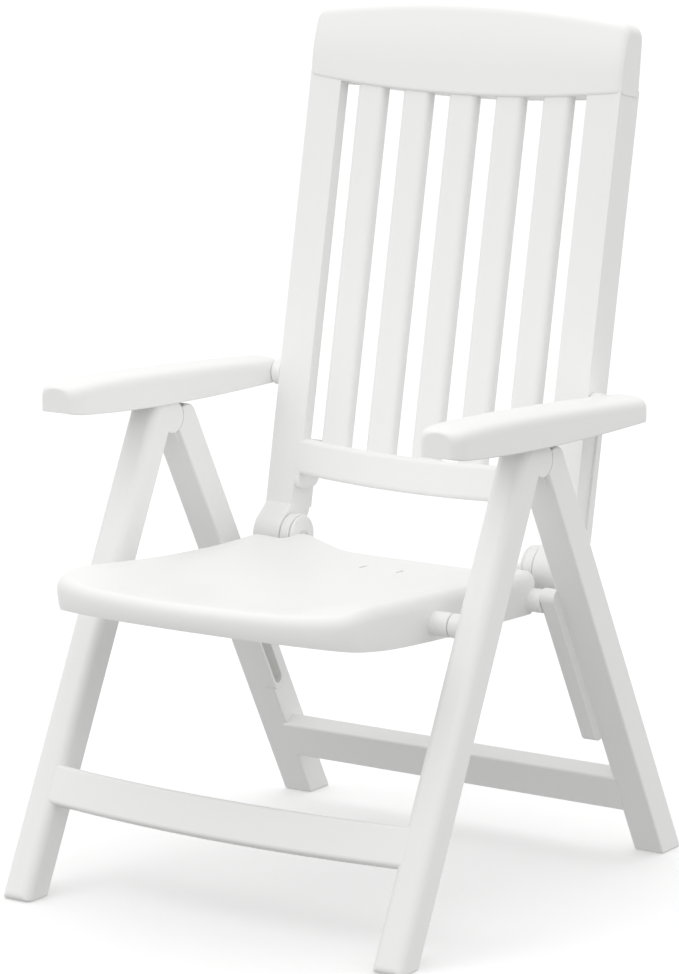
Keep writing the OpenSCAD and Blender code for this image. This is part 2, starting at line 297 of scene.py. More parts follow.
def join(parts):
    """Joins the meshes of the parts into the first one."""
    bm = bmesh.new()
    for part in parts:
        bm.from_mesh(part.data)
    bm.to_mesh(parts[0].data)
    bm.free()
    for part in parts[1:]:
        bpy.data.objects.remove(part)


def frame_limit(name):
    """Upper limit of a joint, in radians."""
    return next(math.radians(j["range_deg"][1]) for j in frame["joints"] if j["name"] == name)


def lock_place(context):
    """Where the lock pins run across the tops of the front legs."""
    legs = context.scene.chair_legs
    return Lean(PIVOT["leg_fold"], legs.front_lean).at(0, -legs.offset, LOCK_RISE)


def slide_place(context):
    """Where the seat's slide pins run while the chair is open."""
    legs = context.scene.chair_legs
    arm = PIVOT["seat_fold"] - PIVOT["leg_fold"]
    angle = math.atan2(-arm.y, -arm.z) + legs.rear_lean
    return Lean(PIVOT["leg_fold"], -legs.rear_lean).at(0, 0, -2 * arm.length * math.cos(angle))


def mesh_object(name, bm):
    bmesh.ops.recalc_face_normals(bm, faces=bm.faces)
    mesh = bpy.data.meshes.new(name)
    bm.to_mesh(mesh)
    bm.free()
    piece = bpy.data.objects.new(name, mesh)
    bpy.context.scene.collection.objects.link(piece)
    return piece


def slab(name, axes, outline, x0, x1, side=1):
    """A side-view outline of (offset, rise) points, made solid between two places across the chair."""
    bm = bmesh.new()
    rows = [[bm.verts.new(axes.at(side * x, *point)) for point in outline] for x in (x0, x1)]
    count = len(outline)
    for i in range(count):
        j = (i + 1) % count
        bm.faces.new((rows[0][i], rows[0][j], rows[1][j], rows[1][i]))
    for row in rows:
        bm.faces.new(row)
    return mesh_object(name, bm)


def rod(name, centre, radius, x0, x1, side=1, steps=48):
    """A cylinder across the chair, at a (y, z) centre."""
    outline = arc(centre, radius, 0, 360, steps)[:-1]
    return slab(name, LEVEL, outline, x0, x1, side)


def loft(name, rings):
    """A closed skin over rings of equal length, with flat ends."""
    bm = bmesh.new()
    rows = [[bm.verts.new(point) for point in ring] for ring in rings]
    count = len(rows[0])
    for low, high in zip(rows, rows[1:]):
        for i in range(count):
            j = (i + 1) % count
            bm.faces.new((low[i], low[j], high[j], high[i]))
    bm.faces.new(rows[0])
    bm.faces.new(rows[-1])
    return mesh_object(name, bm)


def apply_modifiers(piece):
    """Makes the evaluated mesh the piece's own mesh and clears its modifiers."""
    bpy.context.view_layer.update()
    evaluated = piece.evaluated_get(bpy.context.evaluated_depsgraph_get())
    mesh = bpy.data.meshes.new_from_object(evaluated)
    piece.modifiers.clear()
    piece.data = mesh
    mesh.name = piece.name
    return piece


def soften(piece, width, segments=4, angle=32.0):
    """Rounds the edges that are sharper than an angle."""
    bevel = piece.modifiers.new("edges", "BEVEL")
    bevel.width = width
    bevel.segments = segments
    bevel.limit_method = "ANGLE"
    bevel.angle_limit = math.radians(angle)
    bevel.miter_outer = "MITER_ARC"
    return apply_modifiers(piece)


def soften_weighted(piece, width, weight_of, segments=5):
    """Rounds each edge by a width times the weight that weight_of(edge's two ends) gives it."""
    mesh = piece.data
    weights = mesh.attributes.new("bevel_weight_edge", "FLOAT", "EDGE")
    bm = bmesh.new()
    bm.from_mesh(mesh)
    layer = bm.edges.layers.float.get("bevel_weight_edge")
    for edge in bm.edges:
        sharp = len(edge.link_faces) == 2 and edge.calc_face_angle(0.0) > math.radians(30.0)
        edge[layer] = weight_of(edge.verts[0].co, edge.verts[1].co) if sharp else 0.0
    bm.to_mesh(mesh)
    bm.free()
    bevel = piece.modifiers.new("edges", "BEVEL")
    bevel.width = width
    bevel.segments = segments
    bevel.limit_method = "WEIGHT"
    bevel.miter_outer = "MITER_ARC"
    return apply_modifiers(piece)


def combine(piece, operation, *tools):
    """Joins to the piece, or cuts from it, each of the tools, and deletes the tools."""
    for tool in tools:
        cut = piece.modifiers.new("cut", "BOOLEAN")
        cut.operation = operation
        cut.solver = "EXACT"
        cut.object = tool
        apply_modifiers(piece)
        bpy.data.objects.remove(tool)
    return piece


def finish_piece(piece, body, material, slot_name, *nodes):
    """Smooth shading with crisp creases, the material, the body it hangs from, and the CAD nodes it stands
    for hidden.
    """
    mesh = piece.data
    mesh.materials.clear()
    mesh.materials.append(material)
    mesh.polygons.foreach_set("material_index", [0] * len(mesh.polygons))
    bm = bmesh.new()
    bm.from_mesh(mesh)
    bmesh.ops.remove_doubles(bm, verts=bm.verts, dist=1e-6)
    bmesh.ops.dissolve_degenerate(bm, edges=bm.edges, dist=1e-6)
    for edge in bm.edges:
        edge.smooth = len(edge.link_faces) == 2 and edge.calc_face_angle(0.0) < math.radians(32.0)
    for face in bm.faces:
        face.smooth = True
    bm.to_mesh(mesh)
    bm.free()
    even = piece.modifiers.new("even_shading", "WEIGHTED_NORMAL")
    even.keep_sharp = True
    even.weight = 60
    apply_modifiers(piece)
    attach(piece, body)
    if nodes:
        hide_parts(*nodes)
    return piece


def resin_piece(piece, body, *nodes):
    return finish_piece(piece, body, resin(), "white_resin", *nodes)


# ---------------------------------------------------------------- geometry node trees
class Tree:
    """A Geometry Nodes tree under construction, with named inputs."""

    def __init__(self, name, inputs):
        self.group = bpy.data.node_groups.new(name, "GeometryNodeTree")
        self.group.interface.new_socket("Geometry", in_out="OUTPUT", socket_type="NodeSocketGeometry")
        kinds = {int: "NodeSocketInt", float: "NodeSocketFloat"}
        for label, value in inputs.items():
            socket = self.group.interface.new_socket(label, in_out="INPUT", socket_type=kinds[type(value)])
            socket.default_value = value
        self.given = self.group.nodes.new("NodeGroupInput")
        self.inputs = inputs

    def value(self, label):
        return Sock(self.group, self.given.outputs[label])

    def node(self, kind, settings=None, values=None, output=0):
        return node_out(self.group, kind, settings, values, output)

    def vector(self, x=0.0, y=0.0, z=0.0):
        return self.node("ShaderNodeCombineXYZ", values={0: x, 1: y, 2: z})

    def close(self, geometry, material):
        """Ends the tree in Realize Instances and Set Material."""
        real = self.node("GeometryNodeRealizeInstances", values={0: geometry})
        done = self.node("GeometryNodeSetMaterial", values={"Geometry": real})
        done.socket.node.inputs["Material"].default_value = material
        out = self.group.nodes.new("NodeGroupOutput")
        self.group.links.new(done.socket, out.inputs[0])
        return self.group

    def mesh(self, name):
        """A plain mesh object with what the tree makes from its named inputs."""
        piece = bpy.data.objects.new(name, bpy.data.meshes.new(name))
        bpy.context.scene.collection.objects.link(piece)
        modifier = piece.modifiers.new("build", "NODES")
        modifier.node_group = self.group
        for item in self.group.interface.items_tree:
            if item.item_type == "SOCKET" and item.in_out == "INPUT":
                modifier[item.identifier] = self.inputs[item.name]
        return apply_modifiers(piece)


def round_profile(tree, width, height, radius):
    """A rounded rectangle profile curve."""
    box = tree.node("GeometryNodeCurvePrimitiveQuadrilateral", values={0: width, 1: height})
    return tree.node("GeometryNodeFilletCurve", {"mode": "POLY"},
                     {"Curve": box, "Count": 6, "Radius": radius, "Limit Radius": True})


def bowed_bar(name, inputs):
    """A bar across the chair that bows forward: a rounded profile swept along a curve."""
    tree = Tree(name, inputs)
    half = tree.value("Half Length")
    start = tree.vector(x=half * -1.0)
    middle = tree.vector(y=tree.value("Bow") * -2.0, z=tree.value("Sag") * -2.0)
    end = tree.vector(x=half)
    path = tree.node("GeometryNodeCurveQuadraticBezier",
                     values={"Resolution": 48, "Start": start, "Middle": middle, "End": end})
    path = tree.node("GeometryNodeSetCurveNormal", {"mode": "Z_UP"}, {"Curve": path})
    profile = round_profile(tree, tree.value("Depth"), tree.value("Height"), tree.value("Rounding"))
    bar = tree.node("GeometryNodeCurveToMesh", values={"Curve": path, "Profile Curve": profile,
                                                       "Fill Caps": True})
    turn = tree.vector(x=tree.value("Tilt"))
    move = tree.vector(y=tree.value("Place Y"), z=tree.value("Place Z"))
    placed = tree.node("GeometryNodeTransform", values={"Geometry": bar, "Translation": move,
                                                        "Rotation": turn})
    tree.close(placed, resin())
    return tree.mesh(name)


# ---------------------------------------------------------------- operators
class CHAIR_OT_front_legs(bpy.types.Operator):
    """Front legs with their pivot knuckles, lock cheeks and the seat's pivot bosses"""

    bl_idname = "chair.front_legs"
    bl_label = "Front Legs"

    def execute(self, context):
        legs = context.scene.chair_legs
        axes = Lean(PIVOT["leg_fold"], legs.front_lean)
        inner, outer = LEG_LOW.x, LEG_HIGH.x
        front = -legs.offset - legs.depth / 2
        rear = -legs.offset + legs.depth / 2
        top = 0.010
        lock_cheek = 0.011
        outline = [(front, axes.rise_at(front, 0.0)), (rear, axes.rise_at(rear, 0.0)), (rear, top),
                   (front, top)]

        def weight(a, b):
            on_front = all(axes.local((p.y, p.z))[0] < front + 0.001 for p in (a, b))
            return 1.0 if on_front else legs.edge_round / legs.front_round

        for name, side in SIDES:
            leg = slab(f"front_leg_{name}_shell", axes, outline, inner, outer, side)
            soften_weighted(leg, legs.front_round, weight, 7)
            knuckle = slab("knuckle", axes, arc((0, 0), legs.knuckle, 0, 360, 64)[:-1], inner, outer, side)
            head = [(-legs.offset + lock_cheek, 0.0)]
            head += arc((-legs.offset, LOCK_RISE), lock_cheek, 0, 180, 20)
            head.append((-legs.offset - lock_cheek, 0.0))
            ears = slab("ears", axes, head, inner + 0.0005, outer - 0.0005, side)
            soften(knuckle, 0.0012, 3)
            soften(ears, 0.001, 2)
            combine(leg, "UNION", knuckle, ears)
            reach = 0.06
            pocket = slab("pocket", axes, arc((0, 0), legs.knuckle + 0.0003, 0, 360, 64)[:-1],
                          inner + CHEEK, outer - CHEEK, side)
            slot = slab("slot", axes, [(-reach, 0.016), (reach, 0.016), (reach, reach), (-reach, reach)],
                        inner + CHEEK, outer - CHEEK, side)
            back_slot = slab("back_slot", axes, [(rear - 0.003, -0.025), (reach, -0.025), (reach, reach),
                                                 (rear - 0.003, reach)],
                             inner + CHEEK, outer - CHEEK, side)
            combine(leg, "DIFFERENCE", pocket, slot, back_slot)
            resin_piece(leg, "front_frame", f"front_leg_{name}")

            pivot = PIVOT["seat_fold"]
            centre = (pivot.y, pivot.z)
            bore_radius = 0.00705
            boss = rod(f"seat_pivot_boss_{name}_shell", centre, BOSS_RADIUS, BOSS_INNER, inner + 0.001,
                       side, 64)
            soften(boss, 0.0015, 3)
            bore = rod("bore", centre, bore_radius, BOSS_INNER - 0.01, inner + 0.01, side)
            combine(boss, "DIFFERENCE", bore)
            resin_piece(boss, "front_frame", f"seat_pivot_boss_{name}")
        return {"FINISHED"}


class CHAIR_OT_rear_legs(bpy.types.Operator):
    """Rear legs, with the tongues that turn between the front legs' cheeks"""

    bl_idname = "chair.rear_legs"
    bl_label = "Rear Legs"

    def execute(self, context):
        legs = context.scene.chair_legs
        axes = Lean(PIVOT["leg_fold"], -legs.rear_lean)
        inner, outer = LEG_LOW.x, LEG_HIGH.x
        half = legs.depth / 2
        front, rear = legs.offset - half, legs.offset + half
        outline = [(rear, axes.rise_at(rear, 0.0))]
        outline += arc((legs.offset, -half), half, 0, 180, 24)
        outline.append((front, axes.rise_at(front, 0.0)))
        tongue_in = CHEEK + 0.0004
        for name, side in SIDES:
            leg = slab(f"rear_leg_{name}_shell", axes, outline, inner, outer, side)
            soften(leg, legs.edge_round, 4)
            socket = slab("socket", axes, arc((0, 0), legs.knuckle + 0.0006, 0, 360, 64)[:-1],
                          inner - 0.01, outer + 0.01, side)
            combine(leg, "DIFFERENCE", socket)
            tongue = arc((0, 0), legs.knuckle - 0.0005, -20, 270, 48)
            tongue += [(0.0, -legs.depth), (legs.offset, -legs.depth)]
            blade = slab("blade", axes, tongue, inner + tongue_in, outer - tongue_in, side)
            combine(leg, "UNION", blade)
            resin_piece(leg, "rear_frame", f"rear_leg_{name}")
        return {"FINISHED"}


class CHAIR_OT_slide_tracks(bpy.types.Operator):
    """Slotted tracks on the rear legs' inner faces, in which the seat's slide pins run"""

    bl_idname = "chair.slide_tracks"
    bl_label = "Slide Tracks"

    def execute(self, context):
        legs = context.scene.chair_legs
        axes = Lean(PIVOT["leg_fold"], -legs.rear_lean)
        arm = PIVOT["seat_fold"] - PIVOT["leg_fold"]
        angle = math.atan2(-arm.y, -arm.z) + legs.rear_lean
        opened = 2 * arm.length * math.cos(angle)
        folded = 2 * arm.length * math.cos(angle - frame_limit("leg_fold"))
        low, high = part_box("slide_track_right")
        half, slot_half, margin = 0.0115, 0.008, 0.008
        for name, side in SIDES:
            outline = arc((0, margin - opened), half, 0, 180, 24)
            outline += arc((0, -margin - folded), half, 180, 360, 24)
            track = slab(f"slide_track_{name}_shell", axes, outline, low.x, high.x + 0.002, side)
            web = slab("web", axes, [(0, -folded - margin), (legs.offset, -folded - margin),
                                     (legs.offset, 0.100 - folded), (0, 0.112 - folded)],
                       low.x + 0.004, high.x + 0.002, side)
            slot = slab("slot", axes, arc((0, -opened), slot_half, 0, 180, 24)
                        + arc((0, -folded), slot_half, 180, 360, 24), low.x - 0.01, high.x - 0.002, side)
            combine(track, "UNION", web)
            combine(track, "DIFFERENCE", slot)
            soften(track, 0.001, 2)
            resin_piece(track, "rear_frame", f"slide_track_{name}")
        return {"FINISHED"}


class CHAIR_OT_rails(bpy.types.Operator):
    """The bowed front rail, the rear rail and the backrest's lower rail"""

    bl_idname = "chair.rails"
    bl_label = "Rails"

    def execute(self, context):
        legs = context.scene.chair_legs
        back = context.scene.chair_back
        reach = LEG_LOW.x

        axes = Lean(PIVOT["leg_fold"], legs.front_lean)
        depth = 0.027
        offset = -legs.offset - legs.depth / 2 + 0.0006 + depth / 2
        low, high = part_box("front_cross_rail")
        middle = axes.at(0, offset, axes.rise_at(offset, (low.z + high.z) / 2 + 0.004))
        bow = 0.022
        rail = bowed_bar("front_cross_rail_shell", {
            "Half Length": reach + 0.008, "Bow": bow * math.cos(legs.front_lean),
            "Sag": bow * math.sin(legs.front_lean), "Depth": depth, "Height": 0.050, "Rounding": 0.0055,
            "Tilt": -legs.front_lean, "Place Y": middle.y, "Place Z": middle.z})
        resin_piece(rail, "front_frame", "front_cross_rail")

        axes = Lean(PIVOT["leg_fold"], -legs.rear_lean)
        low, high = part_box("rear_cross_rail")
        depth = 0.025
        middle = axes.at(0, depth / 2, axes.rise_at(depth / 2, (low.z + high.z) / 2))
        rail = bowed_bar("rear_cross_rail_shell", {
            "Half Length": reach + 0.004, "Bow": 0.0, "Sag": 0.0, "Depth": depth, "Height": 0.056,
            "Rounding": 0.003, "Tilt": legs.rear_lean, "Place Y": middle.y, "Place Z": middle.z})
        resin_piece(rail, "rear_frame", "rear_cross_rail")

        axes = Lean(PIVOT["recline"], back.lean)
        middle = axes.at(0, 0.005, 0.104)
        rail = bowed_bar("lower_back_rail_shell", {
            "Half Length": STILE_LOW.x + 0.006, "Bow": 0.004, "Sag": 0.008, "Depth": 0.022,
            "Height": 0.047, "Rounding": 0.007, "Tilt": -back.lean, "Place Y": middle.y,
            "Place Z": middle.z})
        resin_piece(rail, "backrest", "lower_back_rail")
        return {"FINISHED"}


class CHAIR_OT_slats(bpy.types.Operator):
    """The row of upright slats in the backrest"""

    bl_idname = "chair.slats"
    bl_label = "Slats"

    def execute(self, context):
        back = context.scene.chair_back
        pitch = abs(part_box("back_slat_2")[0].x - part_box("back_slat_1")[0].x)
        axes = Lean(PIVOT["recline"], back.lean)
        foot = 0.112
        place = axes.at(0, -back.front + 0.002 + back.slat_depth / 2, foot)
        inputs = {"Count": back.slat_count, "Pitch": pitch, "Width": back.slat_width,
                  "Depth": back.slat_depth, "Length": SLAT_HEAD - foot, "Rounding": 0.008,
                  "Tilt": -back.lean, "Place Y": place.y, "Place Z": place.z}
        tree = Tree("upright_slats", inputs)
        profile = round_profile(tree, tree.value("Width"), tree.value("Depth"), tree.value("Rounding"))
        face = tree.node("GeometryNodeFillCurve", {"mode": "NGONS"}, {0: profile})
        rise = tree.vector(z=tree.value("Length"))
        grown = tree.node("GeometryNodeExtrudeMesh",
                          values={"Mesh": face, "Offset": rise, "Individual": False})
        foot_face = tree.node("GeometryNodeFlipFaces", values={0: face})
        solid = tree.node("GeometryNodeJoinGeometry")
        for part in (grown, foot_face):
            tree.group.links.new(part.socket, solid.socket.node.inputs[0])
        merged = tree.node("GeometryNodeMergeByDistance", values={"Geometry": solid, "Distance": 1e-5})
        first = tree.vector(x=(tree.value("Count") - 1.0) * tree.value("Pitch") * -0.5)
        step = tree.vector(x=tree.value("Pitch"))
        row = tree.node("GeometryNodeMeshLine", values={"Count": tree.value("Count"),
                                                        "Start Location": first, "Offset": step})
        slats = tree.node("GeometryNodeInstanceOnPoints", values={"Points": row, "Instance": merged})
        turn = tree.vector(x=tree.value("Tilt"))
        move = tree.vector(y=tree.value("Place Y"), z=tree.value("Place Z"))
        placed = tree.node("GeometryNodeTransform", values={"Geometry": slats, "Translation": move,
                                                            "Rotation": turn})
        tree.close(placed, resin())
        row_of_slats = tree.mesh("back_slats")
        resin_piece(row_of_slats, "backrest", *(f"back_slat_{i + 1}" for i in range(back.slat_count)))
        return {"FINISHED"}


class CHAIR_OT_head_cap(bpy.types.Operator):
    """The crowned, pillowed head cap across the top of the backrest"""

    bl_idname = "chair.head_cap"
    bl_label = "Head Cap"

    def execute(self, context):
        back = context.scene.chair_back
        axes = Lean(PIVOT["recline"], back.lean)
        half = STILE_HIGH.x + 0.0012
        top = 0.692
        bottom = 0.604
        end_round = 0.011
        lip = 0.0028
        columns = 72
        rings = []
        for i in range(columns + 1):
            x = -half * math.cos(math.pi * i / columns)
            edge = min(half - abs(x), end_round)
            inset = end_round - math.sqrt(end_round ** 2 - (end_round - edge) ** 2)
            arch = 1.0 - (x / half) ** 2
            foot = bottom - back.cap_droop * arch
            head = top + back.cap_crown * arch - inset
            front = -back.front - 0.002 + 0.5 * inset
            rear = back.stile_depth - back.front - 0.3 * inset
            corners = [(front, foot), (front - lip, (foot + head) / 2), (front + 0.004, head),
                       (rear - 0.007, head), (rear - 0.001, foot)]
            ring = rounded(corners, (0.005, 0.030, 0.011, 0.009, 0.005))
            rings.append([axes.at(x, *point) for point in ring])
        cap = loft("head_cap_shell", rings)
        resin_piece(cap, "backrest", "head_cap")
        return {"FINISHED"}


class CHAIR_OT_stiles(bpy.types.Operator):
    """The backrest's side stiles, with the knuckles that turn on the back hinge"""

    bl_idname = "chair.stiles"
    bl_label = "Stiles"

    def execute(self, context):
        back = context.scene.chair_back
        axes = Lean(PIVOT["recline"], back.lean)
        front, rear = -back.front, back.stile_depth - back.front
        inner, outer = STILE_LOW.x, STILE_HIGH.x
        knuckle_in = outer - 0.0406
        neck, knuckle = 0.041, 0.030
        flange_rear, wall = 0.014, 0.0095
        open_foot, open_head = 0.127, 0.598
        points = arc((0, 0), knuckle, 0, 360, 72)[:-1] + [(rear, neck), (front, neck)]
        order = convex_hull_2d([Vector(point) for point in points])
        start = order.index(len(points) - 1)
        hull = [points[i] for i in order[start:] + order[:start]]

        def weight(a, b):
            on_front = all(axes.local((p.y, p.z))[0] < front + 0.001 for p in (a, b))
            return 1.0 if on_front else 0.45

        for name, side in SIDES:
            stile = slab(f"back_stile_{name}_shell", axes, [(front, neck - 0.004), (rear, neck - 0.004),
                                                            (rear, 0.100), (front, 0.100)],
                         knuckle_in, outer, side)
            upper = slab("upper", axes, rounded([(front, 0.060), (rear, 0.066), (rear, SLAT_HEAD),
                                                 (front, SLAT_HEAD)], (0.016, 0.016, 0.001, 0.001)),
                         inner, outer, side)
            past = rear + 0.017
            angle_cut = slab("angle_cut", axes, [(flange_rear, open_foot), (past, open_foot),
                                                 (past, open_head), (flange_rear, open_head)],
                             inner - 0.01, outer - wall, side)
            combine(upper, "DIFFERENCE", angle_cut)
            combine(stile, "UNION", upper)
            soften_weighted(stile, back.stile_round, weight, 6)
            joint = slab("joint", axes, hull, knuckle_in, outer, side)
            soften(joint, 0.003, 4, 40.0)
            combine(stile, "UNION", joint)
            pivot = PIVOT["arm_fold"]
            boss = rod("boss", (pivot.y, pivot.z), 0.0105, outer - 0.0244, outer - 0.006, side)
            soften(boss, 0.0012, 3)
            combine(stile, "UNION", boss)
            channel = slab("channel", axes, rounded([(0.008, 0.052), (0.030, 0.050), (0.032, 0.200),
                                                     (0.026, 0.204)], (0.004, 0.006, 0.003, 0.003)),
                           outer - 0.003, outer + 0.01, side)
            combine(stile, "DIFFERENCE", channel)
            resin_piece(stile, "backrest", f"back_stile_{name}")
        return {"FINISHED"}


class CHAIR_OT_seat(bpy.types.Operator):
    """The dished seat shell with its rolled rim, skirt, pivot bosses, hinge ears and drain slits"""

    bl_idname = "chair.seat"
    bl_label = "Seat"

    def execute(self, context):
        seat = context.scene.chair_seat
        front, rear, half = SEAT_LOW.y, PIVOT["recline"].y + 0.002, 0.219
        front_h, rear_h = SEAT_HIGH.z, 0.401
        foot = rear_h - 0.054
        ear_in, ear_out = 0.1735, 0.1786
        room = PIVOT["recline"].y - 0.049

        def climb(y):
            """Share of the way from where the rim is level to the front edge, 0 behind that."""
            return max(0.0, (SEAT_LEVEL_Y - y) / (SEAT_LEVEL_Y - front))

        def rim(y):
            return rear_h + (front_h - rear_h) * climb(y) ** SEAT_CLIMB

        def surface(x, y):
            """Height of the sitting surface: raised sides, a hollow middle and a low front lip."""
            side_rise = ease((abs(x) - 0.095) / 0.105) * ease((y - front - 0.02) / 0.11)
            dish = ease((0.172 - abs(x)) / 0.090) * ease((y - front - 0.03) / 0.12)
            return rim(y) - seat.middle * (1 - side_rise) - seat.dish * dish

        bow, corner, waist = 0.062, 0.060, 0.009
        corners = [(-ear_out, rear), (-ear_out, room), (-half, room - 0.001), (-half + waist, 0.035),
                   (-half + waist, -0.13), (-half, -0.225), (-half, front + bow)]
        corners += [(half * t, front + bow * t ** 2) for t in (-0.75, -0.5, -0.25, 0.0, 0.25, 0.5, 0.75)]
        corners += [(-x, y) for x, y in reversed(corners[:7])]
        radii = [0.023, 0.003, 0.022, 0.07, 0.07, 0.06, corner] + [0.06] * 7
        radii += list(reversed(radii[:7]))
        edge = resample([Vector(point) for point in rounded(corners, radii, 10)], 420)
        count = len(edge)
        inward = []
        for i in range(count):
            along = edge[(i + 1) % count] - edge[i - 1]
            inward.append(Vector((-along.y, along.x)).normalized())
        if inward[0].dot(Vector((0, 0)) - edge[0]) < 0:
            inward = [-n for n in inward]

        roll = seat.roll
        rows = []

        def row(inset, drop):
            """One closed row of the skin: how far in from the edge and how far below the rim."""
            points = []
            for place, normal in zip(edge, inward):
                x, y = place + normal * inset
                points.append(Vector((x, y, surface(x, y) - drop)))
            rows.append(points)

        for inset, share in ((0.0034, 0.0), (0.0012, 0.3), (0.0, 0.75)):
            points = []
            for place, normal in zip(edge, inward):
                x, y = place + normal * inset
                top = surface(x, y) - roll
                low = foot + 0.046 * climb(y) ** 2.6
                points.append(Vector((x, y, low + (top - low) * share)))
            rows.append(points)
        for i in range(11):
            turn = math.radians(9 * i)
            row(0.8 * roll * (1 - math.cos(turn)), roll * (1 - math.sin(turn)))
        inner_ring = [Vector((p.x, p.y)) for p in rows[-1]]
        centre = Vector((0.0, -0.06))
        steps = 34
        for k in range(1, steps):
            points = []
            for place in inner_ring:
                x, y = centre + (place - centre) * (1.0 - k / steps)
                points.append(Vector((x, y, surface(x, y))))
            rows.append(points)
        bm = bmesh.new()
        skin = [[bm.verts.new(point) for point in points] for points in rows]
        for low, high in zip(skin, skin[1:]):
            for i in range(count):
                j = (i + 1) % count
                bm.faces.new((low[i], low[j], high[j], high[i]))
        tip = bm.verts.new((centre.x, centre.y, surface(centre.x, centre.y)))
        for i in range(count):
            bm.faces.new((skin[-1][i], skin[-1][(i + 1) % count], tip))
        shell = mesh_object("seat_shell_skin", bm)
        if shell.data.polygons[-1].normal.z < 0:
            shell.data.flip_normals()
        thick = shell.modifiers.new("wall", "SOLIDIFY")
        thick.thickness = seat.wall
        thick.offset = -1.0
        thick.use_rim = True
        apply_modifiers(shell)

        slit_y, slit_x = 0.103, 0.028
        for side in (1, -1):
            slit = slab("slit", LEVEL, [(slit_y - 0.0085, 0.2), (slit_y + 0.0085, 0.2),
                                        (slit_y + 0.0085, 0.5), (slit_y - 0.0085, 0.5)],
                        slit_x - 0.0016, slit_x + 0.0016, side)
            combine(shell, "DIFFERENCE", slit)
        parts = [shell]
        bosses = (PIVOT["seat_fold"], slide_place(context))
        for side in (1, -1):
            for place in bosses:
                boss = rod("boss", (place.y, place.z), BOSS_RADIUS, half - 0.018, 0.2352, side, 64)
                parts.append(soften(boss, 0.002, 4))
            hinge = PIVOT["recline"]
            ear = rod("ear", (hinge.y, hinge.z), 0.027, ear_in, ear_out, side, 64)
            parts.append(soften(ear, 0.003, 5))
            block_front, block_foot, block_top = hinge.y - 0.050, foot + 0.001, rear_h - 0.016
            block = slab("block", LEVEL, rounded([(block_front, block_foot), (hinge.y, block_foot),
                                                  (hinge.y, block_top), (block_front, block_top)],
                                                 (0.004,) * 4), ear_in, ear_out, side)
            parts.append(soften(block, 0.0015, 3))
        parts.append(self.ribs(seat, front, rear_h, front_h))
        join(parts)
        resin_piece(shell, "seat", "seat_shell")
        return {"FINISHED"}

    def ribs(self, seat, front, rear_h, front_h):
        """Cross ribs under the sitting surface, each at the height of the surface above it."""
        inputs = {"Count": 7, "First": -0.25, "Pitch": 0.056, "Length": 0.34, "Width": 0.003,
                  "Height": 0.016, "Front": front, "Rear Height": rear_h, "Front Height": front_h,
                  "Dish": seat.middle + seat.dish + seat.wall}
        tree = Tree("seat_ribs", inputs)
        size = tree.vector(tree.value("Length"), tree.value("Width"), tree.value("Height"))
        rib = tree.node("GeometryNodeMeshCube", values={"Size": size})
        first = tree.vector(y=tree.value("First"))
        step = tree.vector(y=tree.value("Pitch"))
        row = tree.node("GeometryNodeMeshLine", values={"Count": tree.value("Count"),
                                                        "Start Location": first, "Offset": step})
        place = tree.node("GeometryNodeInputPosition")
        split = tree.node("ShaderNodeSeparateXYZ", values={0: place}, output=1)
        share = (SEAT_LEVEL_Y - split) * (1.0 / (SEAT_LEVEL_Y - front))
        share = tree.node("ShaderNodeMath", {"operation": "MAXIMUM"}, {0: share, 1: 0.0})
        climb = tree.node("ShaderNodeMath", {"operation": "POWER"}, {0: share, 1: SEAT_CLIMB})
        rise = tree.value("Front Height") - tree.value("Rear Height")
        height = climb * rise + tree.value("Rear Height") - tree.value("Dish") - tree.value("Height") * 0.5
        lift = tree.vector(z=height)
        raised = tree.node("GeometryNodeSetPosition", values={"Geometry": row, "Offset": lift})
        ribs = tree.node("GeometryNodeInstanceOnPoints", values={"Points": raised, "Instance": rib})
        tree.close(ribs, resin())
        return tree.mesh("seat_ribs")


